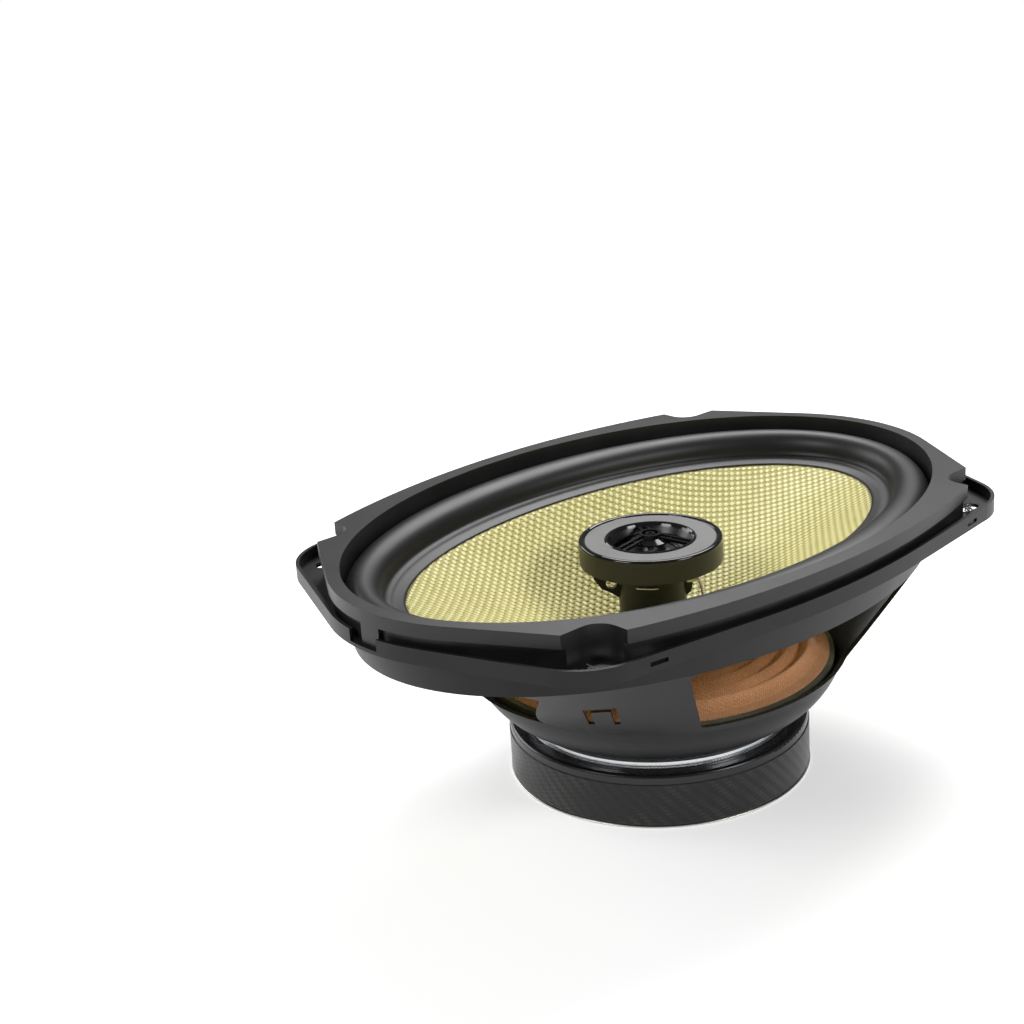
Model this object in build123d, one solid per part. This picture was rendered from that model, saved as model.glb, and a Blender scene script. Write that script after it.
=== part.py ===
from build123d import *
import math
import os

os.makedirs("parts", exist_ok=True)

# Oval coaxial car speaker, 6 x 9 inch class, millimetres.
# Origin: centre of the motor's rear face, on the cone's axis. +Z is the way the cone fires.
# +X runs along the long side of the oval, +Y across it.

# ---------------------------------------------------------------- driving dimensions
# Pressed steel basket
frame_half_length = 117.5      # outside of the tray lip, along X
frame_half_width = 82.5        # outside of the tray lip, along Y
frame_side_radius = 248.2      # curve of the long sides
frame_end_radius = 57.7        # curve of the short ends
ear_from_end = 39.5            # each corner ear is an arc this far in from the lip's end
ear_from_side = 31.5           # and this far in from its side
ear_centre_x = frame_half_length - ear_from_end
ear_centre_y = frame_half_width - ear_from_side
ear_radius = 22.5
sheet = 1.2                    # steel thickness
flange_z = 79.0                # rear face of the mounting flange
lip_height = 5.0               # tray lip, from the rear face of the flange
bolt_spacing_x = 169.0
bolt_spacing_y = 127.0
bolt_slot_width = 4.8
bolt_slot_length = 9.0
band_drop = 11.5               # depth of the plain wall under the flange
band_draft = 3.0               # how far that wall leans in
bowl_rim_radius = 61.5
bowl_rim_z = 38.0
bowl_foot_radius = 44.0
window_side_top = 51.5         # half widths of the windows in the long sides
window_side_bottom = 34.0
window_end_top = 44.5          # half widths of the windows in the ends
window_end_bottom = 15.0
window_corner = 2.2
window_sill = 2.4               # sill above the bowl's rim
lance_width = 9.6              # inverted U cut in each leg
lance_height = 10.4
lance_cut = 1.9
lance_z = 47.0
lance_offset = 8.5
lip_slot_length = 6.1          # drain slot in the lip beside each ear
lip_slot_height = 1.3
lip_slot_x = 71.2

# Moulded trim ring
ring_gap = 0.3                 # clearance from the inside of the lip
ring_top_z = 91.1
ring_brim = 4.3                # thickness of the overhanging brim
ring_undercut = 1.5
ring_flank_angle = 29.9        # direction the corner flanks face, degrees from +X
notch_x = 77.0                 # inner walls of the corner notches
notch_y = 57.6
notch_corner = 6.5
opening_half_length = 111.6
opening_half_width = 75.5
tab_width = 8.0                # locating tab at each end of the ring
tab_offset = 2.6
tab_slack = 4.0

# Cone, surround and spider
cone_half_length = 93.0        # front edge of the cone that stays in view
cone_half_width = 53.3
cone_edge_z = 77.2
cone_neck_z = 46.0
cone_thickness = 0.8
roll_half_length = 105.0       # crest of the surround's roll
roll_half_width = 68.0
roll_height = 7.3              # crest above the front of the flange
roll_foot_length = 99.8        # where the roll meets the inner apron
roll_foot_width = 60.2
rubber = 0.8
surround_tuck = 1.9            # surround edge clamped under the ring
spider_radius = 57.5
spider_rim_z = 39.5
spider_cloth = 0.6
spider_valleys = [54.0, 48.0, 41.7, 35.5, 29.3, 23.0]
spider_wave = 1.6
spider_first_wave = 3.0
spider_lift = 1.8              # waves ride this far above the rim

# Motor
pole_radius = 15.0
pole_top_z = 22.0
back_plate_radius = 49.6
back_rim_radius = 50.9          # thin rim that shows under the cover
back_rim_height = 0.85
back_plate_thickness = 5.5
magnet_radius = 48.0
magnet_bore = 20.0
magnet_thickness = 10.0
top_plate_radius = 45.3
top_plate_bore = 17.2
top_plate_thickness = 5.8
former_bore = 15.6
former_wall = 0.25
former_bottom_z = 12.0
former_top_z = 47.5
winding_wall = 0.65
winding_bottom_z = 12.5
winding_height = 12.0
cover_radius = 50.4
cover_wall = 0.75
cover_height = 18.4
cover_mouth = 45.75
wrap_film = 0.25
rivet_circle = 36.0
rivet_radius = 2.0

# Tweeter on its post
post_radius = 11.2
post_bore = 9.8
tweeter_radius = 23.65
tweeter_bottom_z = 72.0
tweeter_top_z = 79.9
face_outer = 21.6
face_inner = 15.1
grille_bore = 13.8
throat_radius = 12.3            # narrowest part of the flared mouth
hub_radius = 3.75
hub_rise = 1.3                 # hub stands above the bezel
skirt_radius = 6.3
spoke_spread = 1.3             # each spoke is two bars, this far either side
spoke_angles = [58.0, 178.0, 298.0]
dome_radius = 8.35
screw_radius = 2.5

# Electrical parts
board_half_width = 22.0
board_height = 10.8
board_thickness = 1.6
blade_angle_drop = 8.0
lead_radius = 0.7

# Travel of the two diaphragms, for clearances
clear = 0.3

# ---------------------------------------------------------------- derived levels
floor_z = flange_z + sheet                       # front face of the flange
lip_top_z = flange_z + lip_height
brim_z = ring_top_z - ring_brim
band_z = flange_z - band_drop                    # top of the windows
magnet_z = back_plate_thickness
top_plate_z = magnet_z + magnet_thickness
motor_top_z = top_plate_z + top_plate_thickness  # basket sits here
former_radius = former_bore + former_wall
ring_half_length = frame_half_length - sheet - ring_gap
ring_half_width = frame_half_width - sheet - ring_gap
ring_side_radius = frame_side_radius - sheet - ring_gap
ring_end_radius = frame_end_radius - sheet - ring_gap
bolt_x = bolt_spacing_x / 2
bolt_y = bolt_spacing_y / 2
leg_angle = math.degrees(math.atan2(window_end_top + window_side_top * 0.6, 90.0))


def save(name, shape):
    export_step(shape, f"parts/{name}.step")


# ---------------------------------------------------------------- outline helpers
def polar(centre, radius, angle):
    return (centre[0] + radius * math.cos(angle), centre[1] + radius * math.sin(angle))


def quarter_face(edges):
    """Closed face from the edges of one quadrant, mirrored to the other three."""
    half = edges + [edge.mirror(Plane.YZ) for edge in edges]
    return Face(Wire(half + [edge.mirror(Plane.XZ) for edge in half]))


def arc(centre, radius, start, end):
    middle = (start + end) / 2
    points = [polar(centre, radius, a) for a in (start, middle, end)]
    return Edge.make_three_point_arc(*[Vector(x, y, 0) for x, y in points])


def line(start, end):
    return Edge.make_line(Vector(*start, 0), Vector(*end, 0))


def tangent_normal(first, second):
    """Direction that the outer tangent line of two circles faces, going anticlockwise."""
    (x1, y1, r1), (x2, y2, r2) = first, second
    reach = math.hypot(x2 - x1, y2 - y1)
    return (math.atan2(y2 - y1, x2 - x1) - math.acos((r1 - r2) / reach)) % (2 * math.pi)


def lip_face(inset):
    """Tray outline: end arc, corner ear and side arc joined by tangent lines."""
    end = (frame_half_length - frame_end_radius, 0.0, frame_end_radius - inset)
    ear = (ear_centre_x, ear_centre_y, ear_radius - inset)
    side = (0.0, frame_half_width - frame_side_radius, frame_side_radius - inset)
    first = tangent_normal(end, ear)
    second = tangent_normal(ear, side)
    edges = [
        arc(end[:2], end[2], 0.0, first),
        line(polar(end[:2], end[2], first), polar(ear[:2], ear[2], first)),
        arc(ear[:2], ear[2], first, second),
        line(polar(ear[:2], ear[2], second), polar(side[:2], side[2], second)),
        arc(side[:2], side[2], second, math.pi / 2),
    ]
    return quarter_face(edges)


def ring_face(inset):
    """Trim ring outline: end arc, straight flank and side arc."""
    end = (ring_half_length - ring_end_radius, 0.0)
    end_radius = ring_end_radius - inset
    side = (0.0, ring_half_width - ring_side_radius)
    side_radius = ring_side_radius - inset
    flank = math.radians(ring_flank_angle)
    start = polar(end, end_radius, flank)
    along = (-math.sin(flank), math.cos(flank))
    away = (start[0] - side[0], start[1] - side[1])
    slope = away[0] * along[0] + away[1] * along[1]
    excess = away[0] ** 2 + away[1] ** 2 - side_radius ** 2
    run = -slope + math.sqrt(slope ** 2 - excess)
    corner = (start[0] + run * along[0], start[1] + run * along[1])
    corner_angle = math.atan2(corner[1] - side[1], corner[0] - side[0])
    edges = [
        arc(end, end_radius, 0.0, flank),
        line(start, corner),
        arc(side, side_radius, corner_angle, math.pi / 2),
    ]
    return quarter_face(edges)


def prism(face, low, high):
    return extrude(Pos(0, 0, low) * face, high - low)


def oval_prism(half_length, half_width, low, high):
    return prism(Ellipse(half_length, half_width), low, high)


def oval_stack(stations):
    """Ruled solid through ellipses given as (half length, half width, height)."""
    solid = None
    for lower, upper in zip(stations, stations[1:]):
        faces = [Pos(0, 0, z) * Ellipse(a, b).face() for a, b, z in (lower, upper)]
        piece = loft(faces, ruled=True)
        solid = piece if solid is None else solid + piece
    return solid


def disc(radius, low, high):
    return Pos(0, 0, low) * Cylinder(radius, high - low, align=(Align.CENTER, Align.CENTER, Align.MIN))


def tube(outer, inner, low, high):
    return disc(outer, low, high) - disc(inner, low - 1, high + 1)


def spun(points):
    """Solid of revolution from a closed polygon of (radius, height)."""
    return revolve(make_face(Polyline(*[(r, 0, z) for r, z in points], close=True)), Axis.Z)


def at_corners(solid):
    """The solid and its mirror images in the other three corners."""
    half = [solid, mirror(solid, Plane.YZ)]
    return half + [mirror(one, Plane.XZ) for one in half]


# ---------------------------------------------------------------- basket
def basket_shell():
    wall = sheet * 1.25
    top = (frame_half_length - 5.2, frame_half_width - 4.5)
    low = (top[0] - band_draft, top[1] - band_draft)
    outside = oval_stack([
        (bowl_rim_radius, bowl_rim_radius, bowl_rim_z), (*low, band_z), (*top, floor_z)])
    inside = oval_stack([
        (bowl_rim_radius - wall, bowl_rim_radius - wall, bowl_rim_z),
        (low[0] - wall, low[1] - wall, band_z), (top[0] - wall, top[1] - wall, floor_z)])
    return outside - inside


def basket_bowl():
    rim = bowl_rim_radius
    drop = bowl_rim_z - motor_top_z
    outer_middle = (rim - 5.4, bowl_rim_z - drop * 0.53)
    inner_middle = (outer_middle[0] - sheet, outer_middle[1] + sheet * 0.75)
    foot = bowl_foot_radius
    hole = top_plate_bore + 3.0
    edges = [
        ThreePointArc((rim, bowl_rim_z), outer_middle, (foot, motor_top_z)),
        Line((foot, motor_top_z), (hole, motor_top_z)),
        Line((hole, motor_top_z), (hole, motor_top_z + sheet)),
        Line((hole, motor_top_z + sheet), (foot - 0.6, motor_top_z + sheet)),
        ThreePointArc((foot - 0.6, motor_top_z + sheet), inner_middle, (rim - sheet * 1.25, bowl_rim_z)),
        Line((rim - sheet * 1.25, bowl_rim_z), (rim, bowl_rim_z)),
    ]
    return revolve(Plane.XZ * make_face(edges), Axis.Z)


def window_cutter(top_half, bottom_half, plane):
    low = bowl_rim_z + window_sill
    outline = Polyline((-bottom_half, low), (bottom_half, low), (top_half, band_z), (-top_half, band_z), close=True)
    face = make_face(outline)
    face = fillet(face.vertices(), window_corner)
    return extrude(plane * face, frame_half_length * 2, both=True)


def lance_cutter():
    """Inverted U through one leg, cut along the direction of the leg."""
    outer = Pos(0, lance_z + lance_height / 2) * Rectangle(lance_width, lance_height)
    inner_height = lance_height - lance_cut
    inner = Pos(0, lance_z + inner_height / 2) * Rectangle(lance_width - 2 * lance_cut, inner_height)
    face = Pos(lance_offset, 0) * (outer - inner)
    across = Plane(origin=(0, 0, 0), x_dir=(math.sin(math.radians(leg_angle)), -math.cos(math.radians(leg_angle)), 0),
                   z_dir=(-math.cos(math.radians(leg_angle)), -math.sin(math.radians(leg_angle)), 0))
    return extrude(across * face, -frame_half_length)


def basket():
    flange = prism(lip_face(0), flange_z, floor_z) - oval_prism(
        opening_half_length - 1.8, opening_half_width - 2.0, flange_z - 1, floor_z + 1)
    lip = prism(lip_face(0), flange_z, lip_top_z) - prism(lip_face(sheet), flange_z - 1, lip_top_z + 1)
    shell = basket_shell() + basket_bowl()
    shell -= window_cutter(window_side_top, window_side_bottom, Plane.XZ)
    shell -= window_cutter(window_end_top, window_end_bottom, Plane.YZ)
    for cutter in at_corners(lance_cutter()):
        shell -= cutter
    body = shell + flange + lip
    slot = Pos(bolt_x, bolt_y) * SlotOverall(bolt_slot_length, bolt_slot_width)
    for cutter in at_corners(prism(slot, flange_z - 1, floor_z + 1)):
        body -= cutter
    drain = Pos(lip_slot_x, frame_half_width - 7, floor_z + 0.5 + lip_slot_height / 2) * Box(
        lip_slot_length, 9, lip_slot_height)
    for cutter in at_corners(drain):
        body -= cutter
    for side in (-1, 1):
        low = tab_offset - tab_width / 2 - clear
        high = tab_offset + tab_width / 2 + clear
        if side < 0:
            low, high = -high, -low
        span = (low - tab_slack, high) if side > 0 else (low, high + tab_slack)
        middle = (span[0] + span[1]) / 2
        body -= Pos(side * frame_half_length, middle, lip_top_z) * Box(8, span[1] - span[0], 2 * (lip_height - sheet))
    bracket_top = board_middle_z() + 4.0
    bracket_low = bowl_rim_z - 3.0
    bracket = Pos(0, board_y() - sheet / 2, (bracket_low + bracket_top) / 2) * Box(
        10, sheet, bracket_top - bracket_low)
    body += bracket
    for x, y in rivet_places():
        body -= Pos(x, y, motor_top_z) * Cylinder(rivet_radius, 6)
    body -= Pos(0, board_y(), board_middle_z()) * Rot(90, 0, 0) * Cylinder(1.6, 8)
    return body


def board_y():
    return bowl_rim_radius - sheet * 1.25


def board_middle_z():
    return bowl_rim_z + window_sill + clear + board_height / 2


def rivet_places():
    turns = [45.0, 135.0, 225.0, 315.0]
    return [polar((0, 0), rivet_circle, math.radians(t)) for t in turns]


def spider_landing(frame):
    """Fibre ring that the spider's rim is glued to, let into the basket's bowl."""
    ring = tube(bowl_rim_radius - 2.3, spider_valleys[1] + 2, bowl_rim_z, spider_rim_z)
    skirt = tube(bowl_rim_radius - 2.3, bowl_rim_radius - 3.8, bowl_rim_z - 4, bowl_rim_z)
    return ring + skirt - frame


# ---------------------------------------------------------------- trim ring
def trim_ring():
    body = prism(ring_face(0), brim_z, ring_top_z) + prism(ring_face(ring_undercut), floor_z, brim_z)
    reach = 2 * notch_corner + frame_half_length
    notch = Pos(notch_x + reach / 2, notch_y + reach / 2) * RectangleRounded(reach, reach, notch_corner)
    for cutter in at_corners(prism(notch, floor_z - 1, ring_top_z + 1)):
        body -= cutter
    brim_block = prism(ring_face(0), floor_z, ring_top_z)
    for side in (-1, 1):
        tab = Pos(side * (frame_half_length - 4), side * tab_offset, (floor_z + ring_top_z) / 2) * Box(
            12, tab_width, ring_top_z - floor_z)
        body += tab & brim_block
    body -= oval_prism(opening_half_length, opening_half_width, floor_z - 1, ring_top_z + 1)
    body -= oval_prism(opening_half_length + surround_tuck, opening_half_width + surround_tuck,
                       floor_z - 1, floor_z + rubber)
    return body


# ---------------------------------------------------------------- cone assembly
def cone_bowl(drop):
    neck = former_radius + 0.75
    slope = (cone_edge_z - cone_neck_z)
    extra = cone_thickness / slope
    length = cone_half_length + (cone_half_length - neck) * extra
    width = cone_half_width + (cone_half_width - neck) * extra
    return oval_stack([(neck, neck, cone_neck_z + cone_thickness - drop),
                       (length, width, cone_edge_z + cone_thickness - drop)])


def cone():
    return cone_bowl(cone_thickness) - cone_bowl(0) - disc(former_radius, cone_neck_z - 5, cone_edge_z)


def cone_point(turn, share):
    """Point on the front of the cone: share 0 is at the neck, 1 at the edge."""
    neck = former_radius + 0.75
    length = neck + (cone_half_length - neck) * share
    width = neck + (cone_half_width - neck) * share
    angle = math.radians(turn)
    height = cone_neck_z + cone_thickness + (cone_edge_z - cone_neck_z - cone_thickness) * share
    return (length * math.cos(angle), width * math.sin(angle), height)


def surround():
    top = floor_z + roll_height
    crest = (roll_half_length, roll_half_width)
    foot = (roll_foot_length, roll_foot_width)
    outer = (opening_half_length - clear, opening_half_width - clear)

    def roll(thin):
        def between(a, b, share, height):
            return (a[0] + (b[0] - a[0]) * share, a[1] + (b[1] - a[1]) * share, height)
        rise = roll_height - thin
        out = (outer[0] - thin, outer[1] - thin)
        inn = (foot[0] + thin, foot[1] + thin)
        outside = [between(out, crest, s, floor_z + rise * h) for s, h in
                   ((0.0, 0.0), (0.12, 0.45), (0.45, 0.85), (1.0, 1.0))]
        inside = [between(inn, crest, s, floor_z + rise * h) for s, h in
                  ((0.0, 0.0), (0.1, 0.42), (0.42, 0.84), (0.985, 1.0))]
        return oval_stack(outside) - oval_stack(inside)

    apron_low = cone_edge_z + clear
    apron_high = floor_z - rubber
    edge = (cone_half_length, cone_half_width)
    below = oval_stack([(*edge, apron_low), (*foot, apron_high), (*foot, floor_z)])
    above = oval_stack([(*edge, apron_low), (*edge, apron_low + rubber), (*foot, floor_z)])
    heel = tuple(size + 2 * rubber for size in foot)
    strip = oval_prism(*heel, apron_high, floor_z + rubber / 2) - oval_prism(*foot, apron_high - 1, top)
    rim = oval_prism(opening_half_length + surround_tuck - 0.1, opening_half_width + surround_tuck - 0.1,
                     floor_z, floor_z + rubber)
    rim -= oval_prism(outer[0] - 2 * rubber, outer[1] - 2 * rubber, floor_z - 1, top)
    return (roll(0) - roll(rubber)) + (below - above) + strip + rim


def spider():
    middle = spider_rim_z + spider_lift
    inner = former_radius + clear
    radii = spider_valleys + [(spider_valleys[-1] + inner) / 2]
    top = []
    for index, (start, end) in enumerate(zip(radii, radii[1:])):
        half = (start + end) / 2
        wave = spider_first_wave if index == 0 else spider_wave
        quarter = (start + half) / 2
        three = (half + end) / 2
        up = middle if index else spider_rim_z + spider_cloth
        top.append(ThreePointArc((start, up), (quarter, middle + wave), (half, middle)))
        top.append(ThreePointArc((half, middle), (three, middle - wave * 0.25), (end, middle)))
    rim_top = spider_rim_z + spider_cloth
    last = radii[-1]
    upper = [Line((spider_radius, rim_top), (radii[0], rim_top))] + top + [Line((last, middle), (inner, middle))]
    lower = [Pos(0, -spider_cloth) * edge for edge in upper]
    ends = [Line((spider_radius, rim_top - spider_cloth), (spider_radius, rim_top)),
            Line((inner, middle - spider_cloth), (inner, middle))]
    return revolve(Plane.XZ * make_face(upper + lower + ends), Axis.Z)


def lead_path(points, radii):
    return FilletPolyline(*points, radius=radii)


def wire(points, radii, radius):
    path = lead_path(points, radii)
    return sweep(Plane(origin=path @ 0, z_dir=path % 0) * Circle(radius), path=path)


# ---------------------------------------------------------------- motor
def t_yoke():
    rim = disc(back_rim_radius, 0, back_rim_height)
    rim = fillet(rim.edges().filter_by(GeomType.CIRCLE), back_rim_height * 0.4)
    plate = disc(back_plate_radius, 0, back_plate_thickness) + rim
    pole = disc(pole_radius, back_plate_thickness, pole_top_z)
    return plate + pole - disc(screw_radius + 0.25, -1, pole_top_z + 1) - disc(6.5, -1, 4.0)


def top_plate():
    """Front plate: grooved edge with a slight draft, rolled over at the top."""
    high = motor_top_z
    edge = top_plate_radius
    plate = spun([(top_plate_bore, top_plate_z), (edge, top_plate_z), (edge + 0.1, high - 2.9),
                  (edge, high - 2.35), (edge - 0.5, high - 2.25), (edge - 0.5, high - 1.95),
                  (edge + 0.12, high - 1.85), (edge, high - 0.75), (edge - 0.7, high), (top_plate_bore, high)])
    for x, y in rivet_places():
        plate -= Pos(x, y, high - 3) * Cylinder(rivet_radius, 6)
    return plate


def frame_rivets():
    head = spun([(0, 1.4), (1.6, 1.3), (2.9, 0.7), (3.4, 0), (0, 0)])
    shank = disc(rivet_radius - 0.05, -sheet - 4.0, 0)
    one = head + shank
    return Compound([Pos(x, y, motor_top_z + sheet) * one for x, y in rivet_places()])


def magnet_cover():
    outer = disc(cover_radius, back_rim_height + 0.05, cover_height)
    outer = fillet(outer.edges().sort_by(Axis.Z)[-1], 1.2)
    hollow = disc(cover_radius - cover_wall, 0, cover_height - 1.4)
    return outer - hollow - disc(cover_mouth, 0, cover_height + 1)


def adhesive_bead(frame, plate):
    bead = Pos(0, 0, motor_top_z + 0.1) * Torus(bowl_foot_radius + 0.45, 0.6)
    return bead - frame - plate


# ---------------------------------------------------------------- tweeter
def tweeter_post():
    body = disc(post_radius, pole_top_z, tweeter_bottom_z)
    body -= disc(post_bore, tweeter_bottom_z - 5.7, tweeter_bottom_z + 1)
    body -= disc(4.0, pole_top_z - 1, pole_top_z + 12)
    body -= disc(screw_radius + 0.25, pole_top_z, pole_top_z + 22)
    web = [(post_radius - 0.6, tweeter_bottom_z), (19.4, tweeter_bottom_z), (19.4, tweeter_bottom_z - 5.6),
           (16.8, tweeter_bottom_z - 9.4), (13.6, tweeter_bottom_z - 11.0), (post_radius - 0.6, tweeter_bottom_z - 13.2)]
    web_face = make_face(Polyline(*web, close=True)) - Pos(13.6, tweeter_bottom_z - 7.6) * Circle(1.8)
    fin = extrude(Plane.XZ * web_face, 0.9, both=True) - disc(post_radius - 0.6, 0, 100)
    body += Rot(0, 0, 140) * fin
    shelf = [(post_radius - 0.6, tweeter_bottom_z - 8.4), (13.2, tweeter_bottom_z - 8.4),
             (12.6, tweeter_bottom_z - 11.6), (post_radius - 0.6, tweeter_bottom_z - 13.2)]
    step = extrude(Plane.XZ * make_face(Polyline(*shelf, close=True)), 2.2, both=True)
    return body + Rot(0, 0, 320) * (step - disc(post_radius - 0.6, 0, 100))


def solder_tag():
    plate = Pos(13.4, 0, tweeter_bottom_z - 8.4 + 0.4) * Box(4.2, 4.4, 0.8)
    return Rot(0, 0, 320) * (plate - disc(post_radius, 0, 100))


def tweeter_housing():
    wall = tube(tweeter_radius, face_outer, tweeter_bottom_z, tweeter_top_z)
    wall = fillet(wall.edges().filter_by(GeomType.CIRCLE).sort_by(Axis.Z)[-2:], (tweeter_radius - face_outer) * 0.43)
    ledge = tube(face_outer, face_outer - 1.2, tweeter_bottom_z + 1.2, tweeter_top_z - 1.7)
    floor = tube(face_outer, post_bore, tweeter_bottom_z, tweeter_bottom_z + 1.2)
    return wall + ledge + floor


def tweeter_face():
    return tube(face_outer - 0.05, face_inner + 0.05, tweeter_top_z - 1.7, tweeter_top_z - 0.5)


def tweeter_grille():
    low = tweeter_bottom_z + 1.2
    ring = spun([(grille_bore, low), (face_inner, low), (face_inner, tweeter_top_z - 0.5),
                 (face_inner - 0.3, tweeter_top_z - 0.15), (grille_bore + 0.5, tweeter_top_z - 0.15),
                 (grille_bore + 0.1, tweeter_top_z - 0.6), (throat_radius, tweeter_top_z - 3.3),
                 (throat_radius, tweeter_top_z - 3.8), (grille_bore, tweeter_top_z - 3.8)])
    crown = tweeter_top_z + hub_rise
    skirt_z = tweeter_top_z - 1.4
    inner = hub_radius - 1.0
    hub = spun([(inner, skirt_z + 0.9), (hub_radius + 0.4, skirt_z), (skirt_radius, skirt_z - 0.2),
                (skirt_radius, skirt_z + 0.3), (hub_radius, skirt_z + 1.5), (hub_radius, crown), (inner, crown)])
    hub += tube(1.6, 0.75, skirt_z + 1.0, crown - 0.2)
    drop = crown - 1.2 - skirt_z
    tilt = math.degrees(math.atan2(drop, grille_bore - hub_radius))
    body = ring + hub
    for turn in spoke_angles:
        parts = []
        for side in (-1, 1):
            length = grille_bore - hub_radius + 1.0
            bar = Rot(0, tilt, 0) * Box(length, 0.9, 1.0)
            parts.append(Pos((grille_bore + hub_radius) / 2, side * spoke_spread, skirt_z + drop / 2) * bar)
        parts.append(Pos(hub_radius + 1.6, 0, skirt_z + 0.6) * Cylinder(1.9, 1.4))
        parts.append(Pos(inner / 2 + 0.8, 0, crown - 0.9) * Box(inner, 0.8, 0.9))
        for part in parts:
            body += Rot(0, 0, turn) * part
    return body - disc(0.75, low, crown + 1)


def tweeter_cup():
    high = tweeter_bottom_z + 1.2
    return (tube(post_bore - 0.2, 8.9, high - 5.5, high + 0.8) + tube(13.6, post_bore - 0.2, high, high + 0.8)
            + disc(post_bore - 0.2, high - 6.7, high - 5.5))


def tweeter_dome():
    base = tweeter_bottom_z + 2.6
    rise = 2.4
    ball = (dome_radius ** 2 + rise ** 2) / (2 * rise)
    shell = Sphere(ball) - Sphere(ball - 0.25)
    return Pos(0, 0, base + rise - ball) * shell & disc(dome_radius, base, base + rise + 1)


def tweeter_surround():
    base = tweeter_bottom_z + 2.0
    inner = dome_radius + clear
    outer = 13.6
    flat = 11.9
    top = ThreePointArc((flat, base + 0.4), ((flat + inner) / 2, base + 1.5), (inner, base + 0.8))
    low = ThreePointArc((flat, base), ((flat + inner) / 2, base + 1.1), (inner, base + 0.4))
    edges = [top, low, Line((inner, base + 0.4), (inner, base + 0.8)), Line((flat, base + 0.4), (outer, base + 0.4)),
             Line((outer, base + 0.4), (outer, base)), Line((outer, base), (flat, base))]
    return revolve(Plane.XZ * make_face(edges), Axis.Z)


def tweeter_lead():
    """Short bare jumper laid on the front of the post."""
    bend = post_radius + 0.36
    section = Plane.XZ * Pos(bend, tweeter_bottom_z - 6.2) * Circle(0.35)
    return Rot(0, 0, 199) * revolve(section, Axis.Z, revolution_arc=36)


# ---------------------------------------------------------------- terminals
def terminal_board():
    plate = Pos(0, board_y() + board_thickness / 2, board_middle_z()) * Box(
        2 * board_half_width, board_thickness, board_height)
    plate = fillet(plate.edges().filter_by(Axis.Y), 2.0)
    for x in (0, positive_x, negative_x):
        plate -= Pos(x, board_y(), board_middle_z()) * Rot(90, 0, 0) * Cylinder(1.2 if x else 1.6, 8)
    return plate


positive_x = 14.5
negative_x = 8.3


def blade(x, width, thickness):
    face_y = board_y() + board_thickness
    foot = Pos(x, face_y + thickness / 2, board_middle_z()) * Box(width, thickness, 8)
    tongue = Pos(x, face_y + blade_angle_drop / 2, board_middle_z() - 4 + thickness / 2) * Box(
        width, blade_angle_drop, thickness)
    hole = Pos(x, face_y + blade_angle_drop * 0.6, board_middle_z() - 4) * Cylinder(0.8, 4)
    pin = Pos(x, face_y, board_middle_z()) * Rot(90, 0, 0) * Cylinder(1.2, 8)
    return foot + tongue - hole - pin


def rivet(x, radius, front, back):
    shank = Pos(x, (front + back) / 2, board_middle_z()) * Rot(90, 0, 0) * Cylinder(radius - 0.05, front - back)
    heads = [Pos(x, y, board_middle_z()) * Rot(90, 0, 0) * Cylinder(radius + 0.9, 0.7)
             for y in (front + 0.35, back - 0.35)]
    return shank + heads[0] + heads[1]


def board_rivets():
    face_y = board_y() + board_thickness
    pins = [rivet(0, 1.6, face_y, board_y() - sheet), rivet(positive_x, 1.2, face_y + 0.8, board_y()),
            rivet(negative_x, 1.2, face_y + 0.5, board_y())]
    return Compound(pins)


def capacitor():
    can_radius = 3.6
    y = board_y() + board_thickness + can_radius
    z = board_middle_z() + 0.6
    can = Pos(-12.5, y, z) * Rot(0, 90, 0) * Cylinder(can_radius, 13)
    return fillet(can.edges().filter_by(GeomType.CIRCLE), 0.6)


def capacitor_leads():
    """Two bare wires: one to the supply side, one back to the speaker side of the board."""
    face_y = board_y() + board_thickness
    y = face_y + 3.6
    z = board_middle_z() + 0.6
    wires = []
    for side in (-1, 1):
        end = -12.5 + side * 6.5
        points = [(end, y, z), (end + side * 2.2, y, z), (end + side * 2.2, face_y, z)]
        wires.append(wire(points, 1.1, 0.35))
    return Compound(wires)


def lead_start(x):
    """Underside of the cone where a flexible lead is glued on."""
    y = 31.0
    share = (y - former_radius - 0.75) / (cone_half_width - former_radius - 0.75)
    return (x, y, cone_neck_z + (cone_edge_z - cone_neck_z) * share - 1.8)


def tinsel_leads():
    """Braided flexible leads from the back of the cone to the terminals."""
    wires = []
    for x in (positive_x, negative_x):
        x0, y0, z0 = lead_start(x)
        end_y = board_y() - 1.6
        z1 = board_middle_z() + 5.5
        points = [(x0, y0, z0), (x0, y0 + 4.5, z1), (x0, end_y, z1), (x0, end_y, board_middle_z() + 1.4)]
        wires.append(wire(points, 2.2, lead_radius))
    return Compound(wires)


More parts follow.
